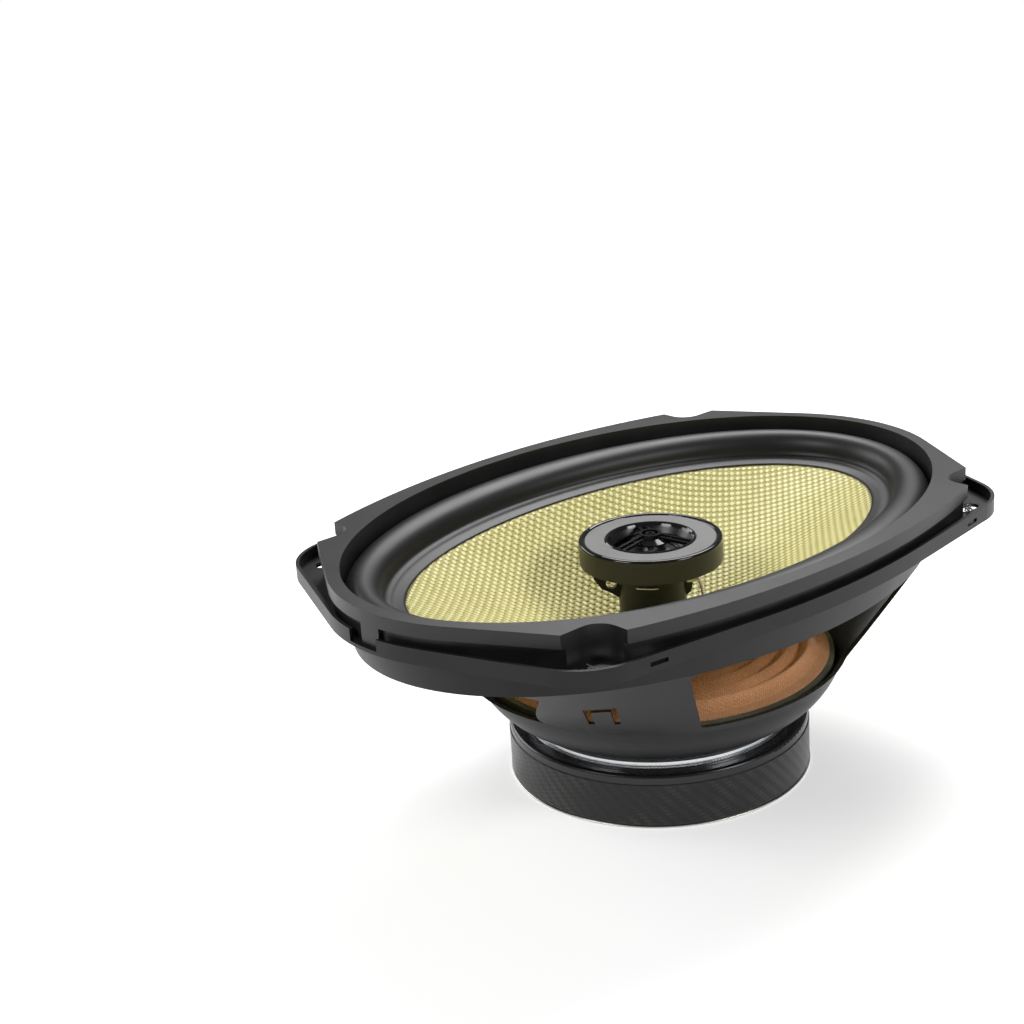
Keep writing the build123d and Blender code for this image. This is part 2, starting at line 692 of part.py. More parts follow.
# ---------------------------------------------------------------- build everything
def main():
    frame = basket()
    save("basket", frame)
    save("spider_landing_ring", spider_landing(frame))
    save("trim_ring", trim_ring())
    save("surround", surround())
    save("cone", cone())
    save("spider", spider())
    save("voice_coil_former", tube(former_radius, former_bore, former_bottom_z, former_top_z))
    save("voice_coil_winding", tube(former_radius + winding_wall, former_radius, winding_bottom_z,
                                    winding_bottom_z + winding_height))
    save("cone_neck_collar", tube(former_radius + 1.6, former_radius, cone_neck_z - 2.4, cone_neck_z))
    save("t_yoke", t_yoke())
    save("ferrite_magnet", tube(magnet_radius, magnet_bore, magnet_z, top_plate_z))
    plate = top_plate()
    save("top_plate", plate)
    save("frame_rivets", frame_rivets())
    save("adhesive_bead", adhesive_bead(frame, plate))
    save("magnet_cover", magnet_cover())
    save("magnet_wrap", tube(cover_radius + wrap_film, cover_radius, 1.4, cover_height - 3.2))
    save("tweeter_post", tweeter_post())
    save("post_insert", tube(4.0, screw_radius + 0.05, pole_top_z, pole_top_z + 12))
    screw = disc(screw_radius, 4.0, pole_top_z + 16) + fillet(disc(4.8, 1.0, 4.0).edges().sort_by(Axis.Z)[0], 1.0)
    save("post_screw", screw - Pos(0, 0, 1.0) * Box(5.5, 1.1, 2.2) - Pos(0, 0, 1.0) * Box(1.1, 5.5, 2.2))
    save("tweeter_housing", tweeter_housing())
    save("tweeter_face_plate", tweeter_face())
    save("tweeter_grille", tweeter_grille())
    save("tweeter_cup", tweeter_cup())
    low = tweeter_bottom_z + 1.2 - 5.5
    save("tweeter_magnet", disc(7.0, low, low + 4.7))
    save("tweeter_pole_plate", disc(7.6, low + 4.7, low + 6.2))
    save("tweeter_dome", tweeter_dome())
    save("tweeter_coil", tube(dome_radius, dome_radius - 0.4, tweeter_bottom_z - 0.2, tweeter_bottom_z + 2.6))
    save("tweeter_surround", tweeter_surround())
    save("tweeter_lead", tweeter_lead())
    save("solder_tag", solder_tag())
    save("terminal_board", terminal_board())
    save("positive_terminal", blade(positive_x, 6.3, 0.8))
    save("negative_terminal", blade(negative_x, 4.8, 0.5))
    save("board_rivets", board_rivets())
    save("crossover_capacitor", capacitor())
    save("capacitor_leads", capacitor_leads())
    save("tinsel_leads", tinsel_leads())


main()
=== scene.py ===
import math

import bmesh
import bpy
from mathutils import Matrix, Vector


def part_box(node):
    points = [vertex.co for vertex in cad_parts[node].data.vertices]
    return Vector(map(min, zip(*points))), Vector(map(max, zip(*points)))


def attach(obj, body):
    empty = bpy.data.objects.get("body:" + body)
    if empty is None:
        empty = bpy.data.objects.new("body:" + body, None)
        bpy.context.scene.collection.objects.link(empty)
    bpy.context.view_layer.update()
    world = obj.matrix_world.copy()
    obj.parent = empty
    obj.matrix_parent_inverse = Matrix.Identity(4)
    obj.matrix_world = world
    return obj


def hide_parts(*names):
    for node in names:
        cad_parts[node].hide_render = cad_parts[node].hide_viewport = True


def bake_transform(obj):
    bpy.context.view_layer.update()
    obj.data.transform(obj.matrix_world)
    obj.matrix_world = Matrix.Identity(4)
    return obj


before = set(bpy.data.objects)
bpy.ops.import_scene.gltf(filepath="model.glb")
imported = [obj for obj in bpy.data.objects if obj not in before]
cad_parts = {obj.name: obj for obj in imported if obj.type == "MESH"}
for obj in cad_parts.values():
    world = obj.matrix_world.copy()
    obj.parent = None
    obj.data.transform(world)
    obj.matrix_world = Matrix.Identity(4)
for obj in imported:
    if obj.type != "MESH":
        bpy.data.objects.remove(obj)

bl_info = {
    "name": "Oval coaxial speaker",
    "version": (1, 0, 0),
    "blender": (4, 5, 0),
    "location": "3D View > Sidebar > Speaker",
    "description": "Soft parts, finishes and studio for an oval coaxial car speaker",
    "category": "Object",
}

MM = 0.001


# ---------------------------------------------------------------- settings
def length(name, text, value):
    return bpy.props.FloatProperty(name=name, description=text, default=value, unit="LENGTH", precision=5)


def share(name, text, value):
    return bpy.props.FloatProperty(name=name, description=text, default=value, min=0.0, max=1.0, subtype="FACTOR")


class SpeakerSoftSettings(bpy.types.PropertyGroup):
    """Shapes of the surround, the cone, the spider and the leads."""

    roll_outer_long: length("Roll outer, long", "Half length of the roll's outer foot", 111.2 * MM)
    roll_outer_wide: length("Roll outer, wide", "Half width of the roll's outer foot", 75.1 * MM)
    roll_inner_long: length("Roll inner, long", "Half length of the roll's inner foot", 99.9 * MM)
    roll_inner_wide: length("Roll inner, wide", "Half width of the roll's inner foot", 60.3 * MM)
    roll_foot: length("Roll foot", "Height of both feet of the roll", 80.3 * MM)
    roll_rise: length("Roll rise", "Height of the crest above the feet", 7.2 * MM)
    rubber: length("Rubber", "Thickness of the surround", 0.7 * MM)
    edge_long: length("Cone edge, long", "Half length of the cone's edge", 93.0 * MM)
    edge_wide: length("Cone edge, wide", "Half width of the cone's edge", 53.3 * MM)
    edge_height: length("Cone edge height", "Height of the cone's edge", 77.2 * MM)
    neck: length("Cone neck", "Radius of the neck", 16.6 * MM)
    neck_height: length("Neck height", "Height of the neck", 46.0 * MM)
    cone_wall: length("Cone wall", "Thickness of the cone", 0.8 * MM)
    spider_rim: length("Spider rim", "Radius of the spider's flat rim", 57.5 * MM)
    spider_level: length("Spider level", "Height of the rim", 39.5 * MM)
    spider_lift: length("Spider lift", "Height of the waves above the rim", 1.9 * MM)
    spider_pitch: length("Spider pitch", "Distance from wave to wave", 6.2 * MM)
    spider_wave: length("Spider wave", "Half height of a wave", 1.35 * MM)
    turns: bpy.props.IntProperty(name="Steps", description="Steps round each soft piece", default=288, min=48)


class SpeakerFinishSettings(bpy.types.PropertyGroup):
    """Sizes of the surface patterns."""

    strand_long: length("Strand along X", "Pitch of the cone cloth's strands along the long side", 1.6 * MM)
    strand_wide: length("Strand along Y", "Pitch of the cone cloth's strands across it", 1.43 * MM)
    twill: length("Twill cell", "Cell size of the wrap's twill", 1.15 * MM)
    cloth: length("Spider thread", "Pitch of the spider cloth's threads", 0.5 * MM)
    gloss: share("Cone gloss", "Strength of the resin coat on the cone", 0.35)


class SpeakerStageSettings(bpy.types.PropertyGroup):
    """Camera and lights."""

    eye: bpy.props.FloatVectorProperty(
        name="Camera", description="Place of the camera", default=(-0.3777, -0.3885, 0.2797), subtype="TRANSLATION")
    yaw: bpy.props.FloatProperty(name="Yaw", description="Heading, from +Y towards +X", default=0.68881, subtype="ANGLE")
    pitch: bpy.props.FloatProperty(name="Pitch", description="Angle down", default=0.33510, subtype="ANGLE")
    roll: bpy.props.FloatProperty(name="Roll", description="Lean of the camera", default=-0.07163, subtype="ANGLE")
    lens: bpy.props.FloatProperty(name="Lens", description="Focal length on a 36 mm sensor", default=61.72)
    key: bpy.props.FloatProperty(name="Key", description="Power of the high light, in watts", default=13.0)
    fill: bpy.props.FloatProperty(name="Fill", description="Power of each soft box, in watts", default=5.0)
    sky: bpy.props.FloatProperty(name="Sky", description="Strength of the even light", default=0.16)


# ---------------------------------------------------------------- shader arithmetic
class Field:
    """A value in a node tree, with the usual arithmetic."""

    def __init__(self, tree, socket):
        self.tree = tree
        self.socket = socket

    def math(self, operation, *others):
        node = self.tree.nodes.new("ShaderNodeMath")
        node.operation = operation
        for index, value in enumerate((self,) + others):
            if isinstance(value, Field):
                self.tree.links.new(value.socket, node.inputs[index])
            else:
                node.inputs[index].default_value = value
        return Field(self.tree, node.outputs[0])

    def lift(self, value):
        node = self.tree.nodes.new("ShaderNodeValue")
        node.outputs[0].default_value = value
        return Field(self.tree, node.outputs[0])

    def __add__(self, other):
        return self.math("ADD", other)

    __radd__ = __add__

    def __sub__(self, other):
        return self.math("SUBTRACT", other)

    def __rsub__(self, other):
        return self.lift(other) - self

    def __mul__(self, other):
        return self.math("MULTIPLY", other)

    __rmul__ = __mul__

    def __truediv__(self, other):
        return self.math("DIVIDE", other)

    def __rtruediv__(self, other):
        return self.lift(other) / self

    def __abs__(self):
        return self.math("ABSOLUTE")

    def __pow__(self, other):
        return self.math("POWER", other)

    def __gt__(self, other):
        return self.math("GREATER_THAN", other)

    def sin(self):
        return self.math("SINE")

    def cos(self):
        return self.math("COSINE")

    def floor(self):
        return self.math("FLOOR")

    def wrap(self, size):
        return self.math("FLOORED_MODULO", size)

    def root(self):
        return self.math("SQRT")

    def angle(self, other):
        return self.math("ARCTAN2", other)

    def most(self, other):
        return self.math("MAXIMUM", other)

    def between(self, low, high):
        """0 at low, 1 at high, smooth between."""
        node = self.tree.nodes.new("ShaderNodeMapRange")
        node.interpolation_type = "SMOOTHSTEP"
        self.tree.links.new(self.socket, node.inputs["Value"])
        node.inputs["From Min"].default_value = low
        node.inputs["From Max"].default_value = high
        return Field(self.tree, node.outputs["Result"])


class Paint:
    """A procedural material on one Principled shader."""

    def __init__(self, name):
        self.material = bpy.data.materials.new(name)
        self.material.use_nodes = True
        self.tree = self.material.node_tree
        self.shader = self.tree.nodes["Principled BSDF"]
        place = self.node("ShaderNodeTexCoord")
        self.place = place.outputs["Object"]
        split = self.node("ShaderNodeSeparateXYZ", inputs={0: self.place})
        self.x, self.y, self.z = (Field(self.tree, split.outputs[i]) for i in range(3))

    def node(self, kind, settings=None, inputs=None):
        node = self.tree.nodes.new(kind)
        for name, value in (settings or {}).items():
            setattr(node, name, value)
        for name, value in (inputs or {}).items():
            self.feed(node.inputs[name], value)
        return node

    def feed(self, socket, value):
        if isinstance(value, Field):
            value = value.socket
        if isinstance(value, bpy.types.NodeSocket):
            self.tree.links.new(value, socket)
        else:
            socket.default_value = value

    def noise(self, size, detail=2.0, stretch=(1.0, 1.0, 1.0)):
        """Noise from 0 to 1 with features of that size in metres."""
        scaled = self.node("ShaderNodeVectorMath", {"operation": "MULTIPLY"}, {0: self.place})
        scaled.inputs[1].default_value = stretch
        node = self.node("ShaderNodeTexNoise", None, {"Vector": scaled.outputs[0], "Scale": 1.0 / size, "Detail": detail})
        return Field(self.tree, node.outputs["Fac"])

    def mix(self, low, high, amount):
        """Colour from low to high as amount goes from 0 to 1."""
        node = self.node("ShaderNodeMix", {"data_type": "RGBA"})
        self.feed(node.inputs["Factor"], amount)
        for socket, value in ((node.inputs[6], low), (node.inputs[7], high)):
            self.feed(socket, (*value, 1.0) if isinstance(value, tuple) else value)
        return node.outputs[2]

    def bump(self, height, depth):
        """Relief of that depth in metres where height goes from 0 to 1."""
        node = self.node("ShaderNodeBump", None, {"Strength": 1.0, "Distance": depth, "Height": height})
        self.feed(self.shader.inputs["Normal"], node.outputs["Normal"])

    def set(self, **values):
        names = {"colour": "Base Color", "roughness": "Roughness", "metallic": "Metallic", "coat": "Coat Weight",
                 "coat_roughness": "Coat Roughness", "specular": "Specular IOR Level", "sheen": "Sheen Weight"}
        for key, value in values.items():
            if isinstance(value, tuple) and len(value) == 3:
                value = (*value, 1.0)
            self.feed(self.shader.inputs[names[key]], value)
        return self


def plain(name, dark, light, roughness, metallic=0.0, grain=0.35 * MM, relief=0.01 * MM, patch=14 * MM, spread=0.08):
    """Moulded, painted or plated finish: soft colour patches, uneven gloss and a fine grain."""
    paint = Paint(name)
    cloud = paint.noise(patch, 3.0)
    fine = paint.noise(grain, 2.0)
    paint.set(colour=paint.mix(dark, light, cloud.between(0.3, 0.7)), metallic=metallic)
    paint.set(roughness=(cloud - 0.5) * spread + (fine - 0.5) * spread * 0.6 + roughness)
    paint.bump(fine, relief)
    return paint


def cone_weave(settings):
    """Plain-woven cloth under a glossy resin: strands cross over and under, and each crossing stands up as a bump."""
    paint = Paint("cone_weave")
    wander = (paint.noise(16 * MM, 1.0) - 0.5) * 0.3
    u = paint.x * (math.pi / settings.strand_long) + wander
    v = paint.y * (math.pi / settings.strand_wide) + wander
    swell = (u.cos() * v.cos() * 0.5 + 0.5).between(0.18, 0.80)
    warp = abs(u.sin())
    weft = abs(v.sin())
    fibre = paint.noise(0.16 * MM, 2.0)
    height = swell * 0.72 + (1.0 - warp * weft) * 0.2 + fibre * 0.08
    # The colour follows the weave height: painted highlight lightens the raised crowns and painted shade darkens the
    # low gaps, plus random tone patches.
    tone = (height + (paint.noise(5 * MM, 2.0) - 0.5) * 0.4).between(0.05, 0.95)
    paint.set(colour=paint.mix((0.46, 0.40, 0.10), (0.90, 0.85, 0.40), tone))
    paint.set(roughness=0.46 - swell * 0.18, coat_roughness=0.28, specular=0.45)
    paint.set(coat=swell * settings.gloss)
    paint.bump(height, 0.75 * MM)
    return paint.material


def spider_cloth(settings):
    """Phenolic-dipped cotton: fine open threads."""
    paint = Paint("spider_cloth")
    step = math.pi / settings.cloth
    sway = (paint.noise(2.2 * MM, 2.0) - 0.5) * 5.0
    threads = (paint.x * step + sway).sin() * (paint.y * step + sway).sin() * 0.5 + 0.5
    fleck = paint.noise(0.45 * MM, 3.0)
    cloud = paint.noise(11 * MM, 2.0)
    tone = (threads * 0.3 + fleck * 0.75 + cloud * 0.3 - 0.2).between(0.1, 0.9)
    paint.set(colour=paint.mix((0.52, 0.20, 0.065), (0.95, 0.50, 0.25), tone), roughness=0.72, sheen=0.3)
    paint.bump(threads * 0.35 + fleck * 0.65, 0.2 * MM)
    return paint.material


def rubber_skin():
    paint = Paint("surround_rubber")
    cloud = paint.noise(22 * MM, 3.0)
    fine = paint.noise(0.3 * MM, 2.0)
    dust = paint.noise(1.1 * MM, 4.0).between(0.70, 0.80)
    clean = paint.mix((0.008, 0.008, 0.0085), (0.011, 0.011, 0.0115), cloud)
    paint.set(colour=paint.mix(clean, (0.035, 0.035, 0.034), dust * 0.3))
    paint.set(roughness=(cloud - 0.5) * 0.1 + 0.43, specular=0.42)
    paint.bump(fine, 0.008 * MM)
    return paint.material


def twill_wrap(settings):
    """Printed film: two-over, two-under twill, each tow shaded along its length, with patchy gloss; the same random
    patches paint the over tows lighter as painted sheen.
    """
    paint = Paint("wrap_twill")
    radius = 50.5 * MM
    u = paint.y.angle(paint.x) * (radius / settings.twill)
    v = paint.z / settings.twill
    column = u.floor()
    row = v.floor()
    over = ((column + row).wrap(4.0)) > 1.5
    across = (abs(u.wrap(1.0) - 0.5) * 2.0) ** 3.0
    along = (abs(v.wrap(1.0) - 0.5) * 2.0) ** 3.0
    groove = across * (1.0 - over) + along * over
    streak = paint.noise(0.25 * MM, 2.0, (1.0, 1.0, 4.0))
    patch = paint.noise(17 * MM, 2.0).between(0.35, 0.65)
    # Painted sheen: random patches lighten the over tows' colour.
    tone = over * (patch * 0.85 + 0.15) * (1.0 - groove) + streak * 0.15
    paint.set(colour=paint.mix((0.004, 0.004, 0.004), (0.030, 0.029, 0.028), tone), specular=0.28)
    paint.set(roughness=0.42 - patch * 0.1 + groove * 0.1, coat=0.25, coat_roughness=0.3)
    paint.bump((1.0 - groove) * 0.6 + over * 0.4, 0.06 * MM)
    return paint.material


def yoke_steel():
    """Black faces with bare bright steel on the turned edge."""
    paint = Paint("yoke_steel")
    radius = (paint.x * paint.x + paint.y * paint.y).root()
    bare = radius.between(49.7 * MM, 49.9 * MM)
    worn = paint.noise(3 * MM, 3.0)
    paint.set(colour=paint.mix((0.02, 0.02, 0.02), (0.72, 0.71, 0.68), bare), metallic=bare)
    paint.set(roughness=0.42 - bare * 0.16 + worn * 0.08)
    paint.bump(worn, 0.01 * MM)
    return paint.material


def turned_zinc():
    """Bright zinc plating over fine lathe rings, faintly clouded."""
    paint = Paint("zinc_plate")
    radius = (paint.x * paint.x + paint.y * paint.y).root()
    rings = ((radius + paint.z * 0.7) * (2 * math.pi / (0.35 * MM))).sin() * 0.5 + 0.5
    cloud = paint.noise(6 * MM, 3.0)
    paint.set(colour=paint.mix((0.60, 0.62, 0.65), (0.86, 0.87, 0.88), cloud), metallic=1.0)
    paint.set(roughness=cloud * 0.12 + 0.16)
    paint.bump(rings * 0.3 + cloud * 0.7, 0.012 * MM)
    return paint.material


def braid(name, dark, light):
    paint = Paint(name)
    turn = (paint.y + paint.z + paint.x * 0.6) * (2 * math.pi / (0.8 * MM))
    cross = (paint.y - paint.z + paint.x * 0.6) * (2 * math.pi / (0.8 * MM))
    lay = turn.sin().most(cross.sin()) * 0.5 + 0.5
    # The colour follows the lay: painted shade darkens the valleys between the wires, the crowns stay pale.
    paint.set(colour=paint.mix(dark, light, lay), roughness=0.45, metallic=0.55)
    paint.bump(lay, 0.12 * MM)
    return paint.material


# ---------------------------------------------------------------- mesh helpers
def loops_mesh(name, stations, turns):
    """Closed skin through ellipses (half length, half width, height), one ring of points each."""
    points = []
    for long, wide, high in stations:
        for step in range(turns):
            angle = 2 * math.pi * step / turns
            points.append((long * math.cos(angle), wide * math.sin(angle), high))
    count = len(stations)
    faces = []
    for row in range(count):
        above = (row + 1) % count
        for step in range(turns):
            after = (step + 1) % turns
            faces.append((row * turns + step, row * turns + after, above * turns + after, above * turns + step))
    mesh = bpy.data.meshes.new(name)
    mesh.from_pydata(points, [], faces)
    mesh.validate()
    mesh.polygons.foreach_set("use_smooth", [True] * len(mesh.polygons))
    obj = bpy.data.objects.new(name, mesh)
    bpy.context.scene.collection.objects.link(obj)
    bpy.context.view_layer.update()
    return obj


def outward(obj):
    """Faces turned to the outside."""
    work = bmesh.new()
    work.from_mesh(obj.data)
    bmesh.ops.recalc_face_normals(work, faces=work.faces)
    work.to_mesh(obj.data)
    work.free()


def tube(name, points, radius):
    """Round tube along a smooth curve."""
    curve = bpy.data.curves.new(name, "CURVE")
    curve.dimensions = "3D"
    spline = curve.splines.new("NURBS")
    spline.points.add(len(points) - 1)
    for point, place in zip(spline.points, points):
        point.co = (*place, 1.0)
    spline.order_u = 3
    spline.use_endpoint_u = True
    spline.resolution_u = 16
    curve.bevel_depth = radius
    curve.bevel_resolution = 4
    curve.use_fill_caps = True
    holder = bpy.data.objects.new(name + "_route", curve)
    bpy.context.scene.collection.objects.link(holder)
    bpy.context.view_layer.update()
    mesh = bpy.data.meshes.new_from_object(holder)
    bpy.data.objects.remove(holder)
    obj = bpy.data.objects.new(name, mesh)
    mesh.name = name
    bpy.context.scene.collection.objects.link(obj)
    bpy.context.view_layer.update()
    return obj


def smooth(value):
    value = min(1.0, max(0.0, value))
    return value * value * (3 - 2 * value)


def cone_front(settings, x, y):
    """Height of the cone's front face above a point."""
    low, high = 0.0, 1.2
    for _ in range(30):
        middle = (low + high) / 2
        long = settings.neck + (settings.edge_long - settings.neck) * middle
        wide = settings.neck + (settings.edge_wide - settings.neck) * middle
        if (x / long) ** 2 + (y / wide) ** 2 > 1:
            low = middle
        else:
            high = middle
    return settings.neck_height + settings.cone_wall + (settings.edge_height - settings.neck_height) * low


# ---------------------------------------------------------------- soft pieces
class SPEAKER_OT_surround(bpy.types.Operator):
    """Half-roll rubber surround with its flat apron, between the basket and the cone"""

    bl_idname = "speaker.surround"
    bl_label = "Build surround"

    def execute(self, context):
        s = context.scene.speaker_soft
        middle = ((s.roll_outer_long + s.roll_inner_long) / 2, (s.roll_outer_wide + s.roll_inner_wide) / 2)
        half = ((s.roll_outer_long - s.roll_inner_long) / 2, (s.roll_outer_wide - s.roll_inner_wide) / 2)
        apron_low = s.edge_height + s.cone_wall + 0.3 * MM
        rows = [(s.roll_outer_long + 2 * MM, s.roll_outer_wide + 2 * MM, s.roll_foot + 0.5 * MM, 0.0)]
        roll_steps, apron_steps = 22, 8
        for index in range(roll_steps + 1):
            turn = math.pi * index / roll_steps
            bulge = math.sin(turn) ** 0.85
            rows.append((middle[0] + half[0] * math.cos(turn), middle[1] + half[1] * math.cos(turn),
                         s.roll_foot + s.roll_rise * bulge, smooth(index / roll_steps)))
        for index in range(1, apron_steps + 1):
            t = index / apron_steps
            dip = 0.5 * MM * math.sin(math.pi * min(1.0, t * 2.2)) if t < 0.45 else 0.0
            rows.append((s.roll_inner_long + (s.edge_long - s.roll_inner_long) * t,
                         s.roll_inner_wide + (s.edge_wide - s.roll_inner_wide) * t,
                         s.roll_foot + (apron_low - s.roll_foot) * t - dip, 1.0))
        stations = rows + [(long, wide, z - s.rubber, w) for long, wide, z, w in reversed(rows)]
        obj = loops_mesh("surround_skin", [row[:3] for row in stations], s.turns)
        outward(obj)
        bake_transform(obj)
        obj.data.materials.append(rubber_skin())
        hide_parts("surround")
        return {"FINISHED"}


class SPEAKER_OT_cone(bpy.types.Operator):
    """Woven cone, riding on the coil"""

    bl_idname = "speaker.cone"
    bl_label = "Build cone"

    def execute(self, context):
        s = context.scene.speaker_soft
        rows = 40

        def station(t, drop):
            belly = 0.35 * MM * math.sin(math.pi * t)
            return (s.neck + (s.edge_long - s.neck) * t, s.neck + (s.edge_wide - s.neck) * t,
                    s.neck_height + s.cone_wall + (s.edge_height - s.neck_height) * t - belly - drop)
        front = [station(t / rows, 0.0) for t in range(rows + 1)]
        back = [station(t / rows, s.cone_wall) for t in reversed(range(rows + 1))]
        obj = loops_mesh("woven_cone", front + back, s.turns)
        outward(obj)
        obj.data.materials.append(cone_weave(context.scene.speaker_finish))
        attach(obj, "cone_assembly")
        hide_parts("cone")
        return {"FINISHED"}


class SPEAKER_OT_spider(bpy.types.Operator):
    """Corrugated cloth spider, reaching from the landing ring to the former"""

    bl_idname = "speaker.spider"
    bl_label = "Build spider"

    def execute(self, context):
        s = context.scene.speaker_soft
        inner = 16.2 * MM
        waves_start = 54.2 * MM
        cloth = 0.5 * MM
        rows = []
        count = 150
        for index in range(count + 1):
            radius = s.spider_rim + (inner - s.spider_rim) * index / count
            inward = waves_start - radius
            level = s.spider_level + cloth
            if inward > 0:
                phase = 2 * math.pi * inward / s.spider_pitch
                grow = s.spider_lift * smooth(inward / s.spider_pitch)
                size = s.spider_wave * (1.25 if inward < s.spider_pitch else 1.0)
                fade = smooth((radius - inner) / (4 * MM))
                level += grow + (size * (1 - math.cos(phase)) - 0.6 * size * smooth(inward / s.spider_pitch)) * fade
            rows.append((radius, radius, level, smooth(inward / (waves_start - inner)) if inward > 0 else 0.0))
        stations = rows + [(long, wide, z - cloth, w) for long, wide, z, w in reversed(rows)]
        obj = loops_mesh("spider_cloth", [row[:3] for row in stations], s.turns)
        outward(obj)
        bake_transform(obj)
        obj.data.materials.append(spider_cloth(context.scene.speaker_finish))
        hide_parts("spider")
        return {"FINISHED"}


class SPEAKER_OT_leads(bpy.types.Operator):
    """Braided leads: cone to terminals, and tweeter tag to cone"""

    bl_idname = "speaker.leads"
    bl_label = "Build leads"

    def execute(self, context):
        s = context.scene.speaker_soft
        copper = braid("lead_braid", (0.38, 0.30, 0.20), (0.92, 0.86, 0.74))
        low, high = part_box("tinsel_leads")
        radius = 0.55 * MM
        for name, x in (("flexible_lead_wide", high.x - radius), ("flexible_lead_narrow", low.x + radius)):
            top = high.z - 1.2 * MM
            bed = s.spider_level + 12.1 * MM
            route = [(x, low.y + 0.9 * MM, top), (x, low.y + 3.0 * MM, top - 3.5 * MM), (x, low.y + 7.0 * MM, bed),
                     (x, high.y - 9.0 * MM, bed), (x, high.y - 1.2 * MM, bed - 0.3 * MM),
                     (x, high.y - radius, low.z + 0.6 * MM)]
            obj = tube(name, route, radius)
            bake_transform(obj)
            obj.data.materials.append(copper)
            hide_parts("tinsel_leads")
        tag_low, tag_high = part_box("solder_tag")
        tag = (tag_low + tag_high) / 2
        foot = Vector((tag.x + 4.5 * MM, tag.y - 4.0 * MM, 0))
        foot.z = cone_front(s, foot.x, foot.y) + 0.6 * MM
        route = [(tag.x, tag.y, tag_high.z + 0.6 * MM), (tag.x + 1.6 * MM, tag.y - 1.4 * MM, tag_high.z + 0.6 * MM),
                 (tag.x + 2.6 * MM, tag.y - 2.2 * MM, tag.z - 5 * MM),
                 (foot.x - 1.2 * MM, foot.y + 1.2 * MM, foot.z + 3 * MM), tuple(foot)]
        obj = tube("tweeter_feed_lead", route, 0.7 * MM)
        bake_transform(obj)
        obj.data.materials.append(copper)
        return {"FINISHED"}


class SPEAKER_OT_glue(bpy.types.Operator):
    """Strings and beads of clear glue in the ring's corner notches, and a pale dab on the cone"""

    bl_idname = "speaker.glue"
    bl_label = "Add glue"

    def execute(self, context):
        s = context.scene.speaker_soft
        clear = plain("clear_glue", (0.06, 0.06, 0.055), (0.16, 0.16, 0.15), 0.08, grain=1.5 * MM, relief=0.2 * MM)
        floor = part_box("trim_ring")[0].z
        for index, (side, way) in enumerate(((-1, -1), (1, -1), (-1, 1), (1, 1))):
            for string in range(4):
                seed = index * 4 + string
                route = []
                for step in range(7):
                    swing = math.sin(seed * 2.3 + step * 1.9)
                    x = side * (79.6 + step * 0.95 + swing * 0.7) * MM
                    y = way * (66.6 - step * 0.95 + string * 0.8 + math.cos(seed * 1.7 + step * 2.6) * 0.7) * MM
                    route.append((x, y, floor + (0.25 + 0.5 * abs(math.sin(seed + step * 1.3))) * MM))
                obj = tube(f"notch_glue_{seed}", route, (0.16 + 0.05 * string) * MM)
                obj.data.materials.append(clear.material)
                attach(obj, "frame")
        # A pale whitish dab on the cone's near side.
        pale = plain("pale_dab_paint", (0.62, 0.60, 0.50), (0.80, 0.78, 0.68), 0.3, grain=1.2 * MM, relief=0.3 * MM)
        x, y = 5.0 * MM, -44.5 * MM
        route = []
        for step in range(6):
            here = (x + (step - 2.5) * 0.9 * MM, y + math.sin(step * 2.1) * 0.9 * MM)
            route.append((*here, cone_front(s, *here) + 0.15 * MM))
        obj = tube("cone_pale_dab", route, 0.55 * MM)
        obj.data.materials.append(pale.material)
        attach(obj, "cone_assembly")
        return {"FINISHED"}


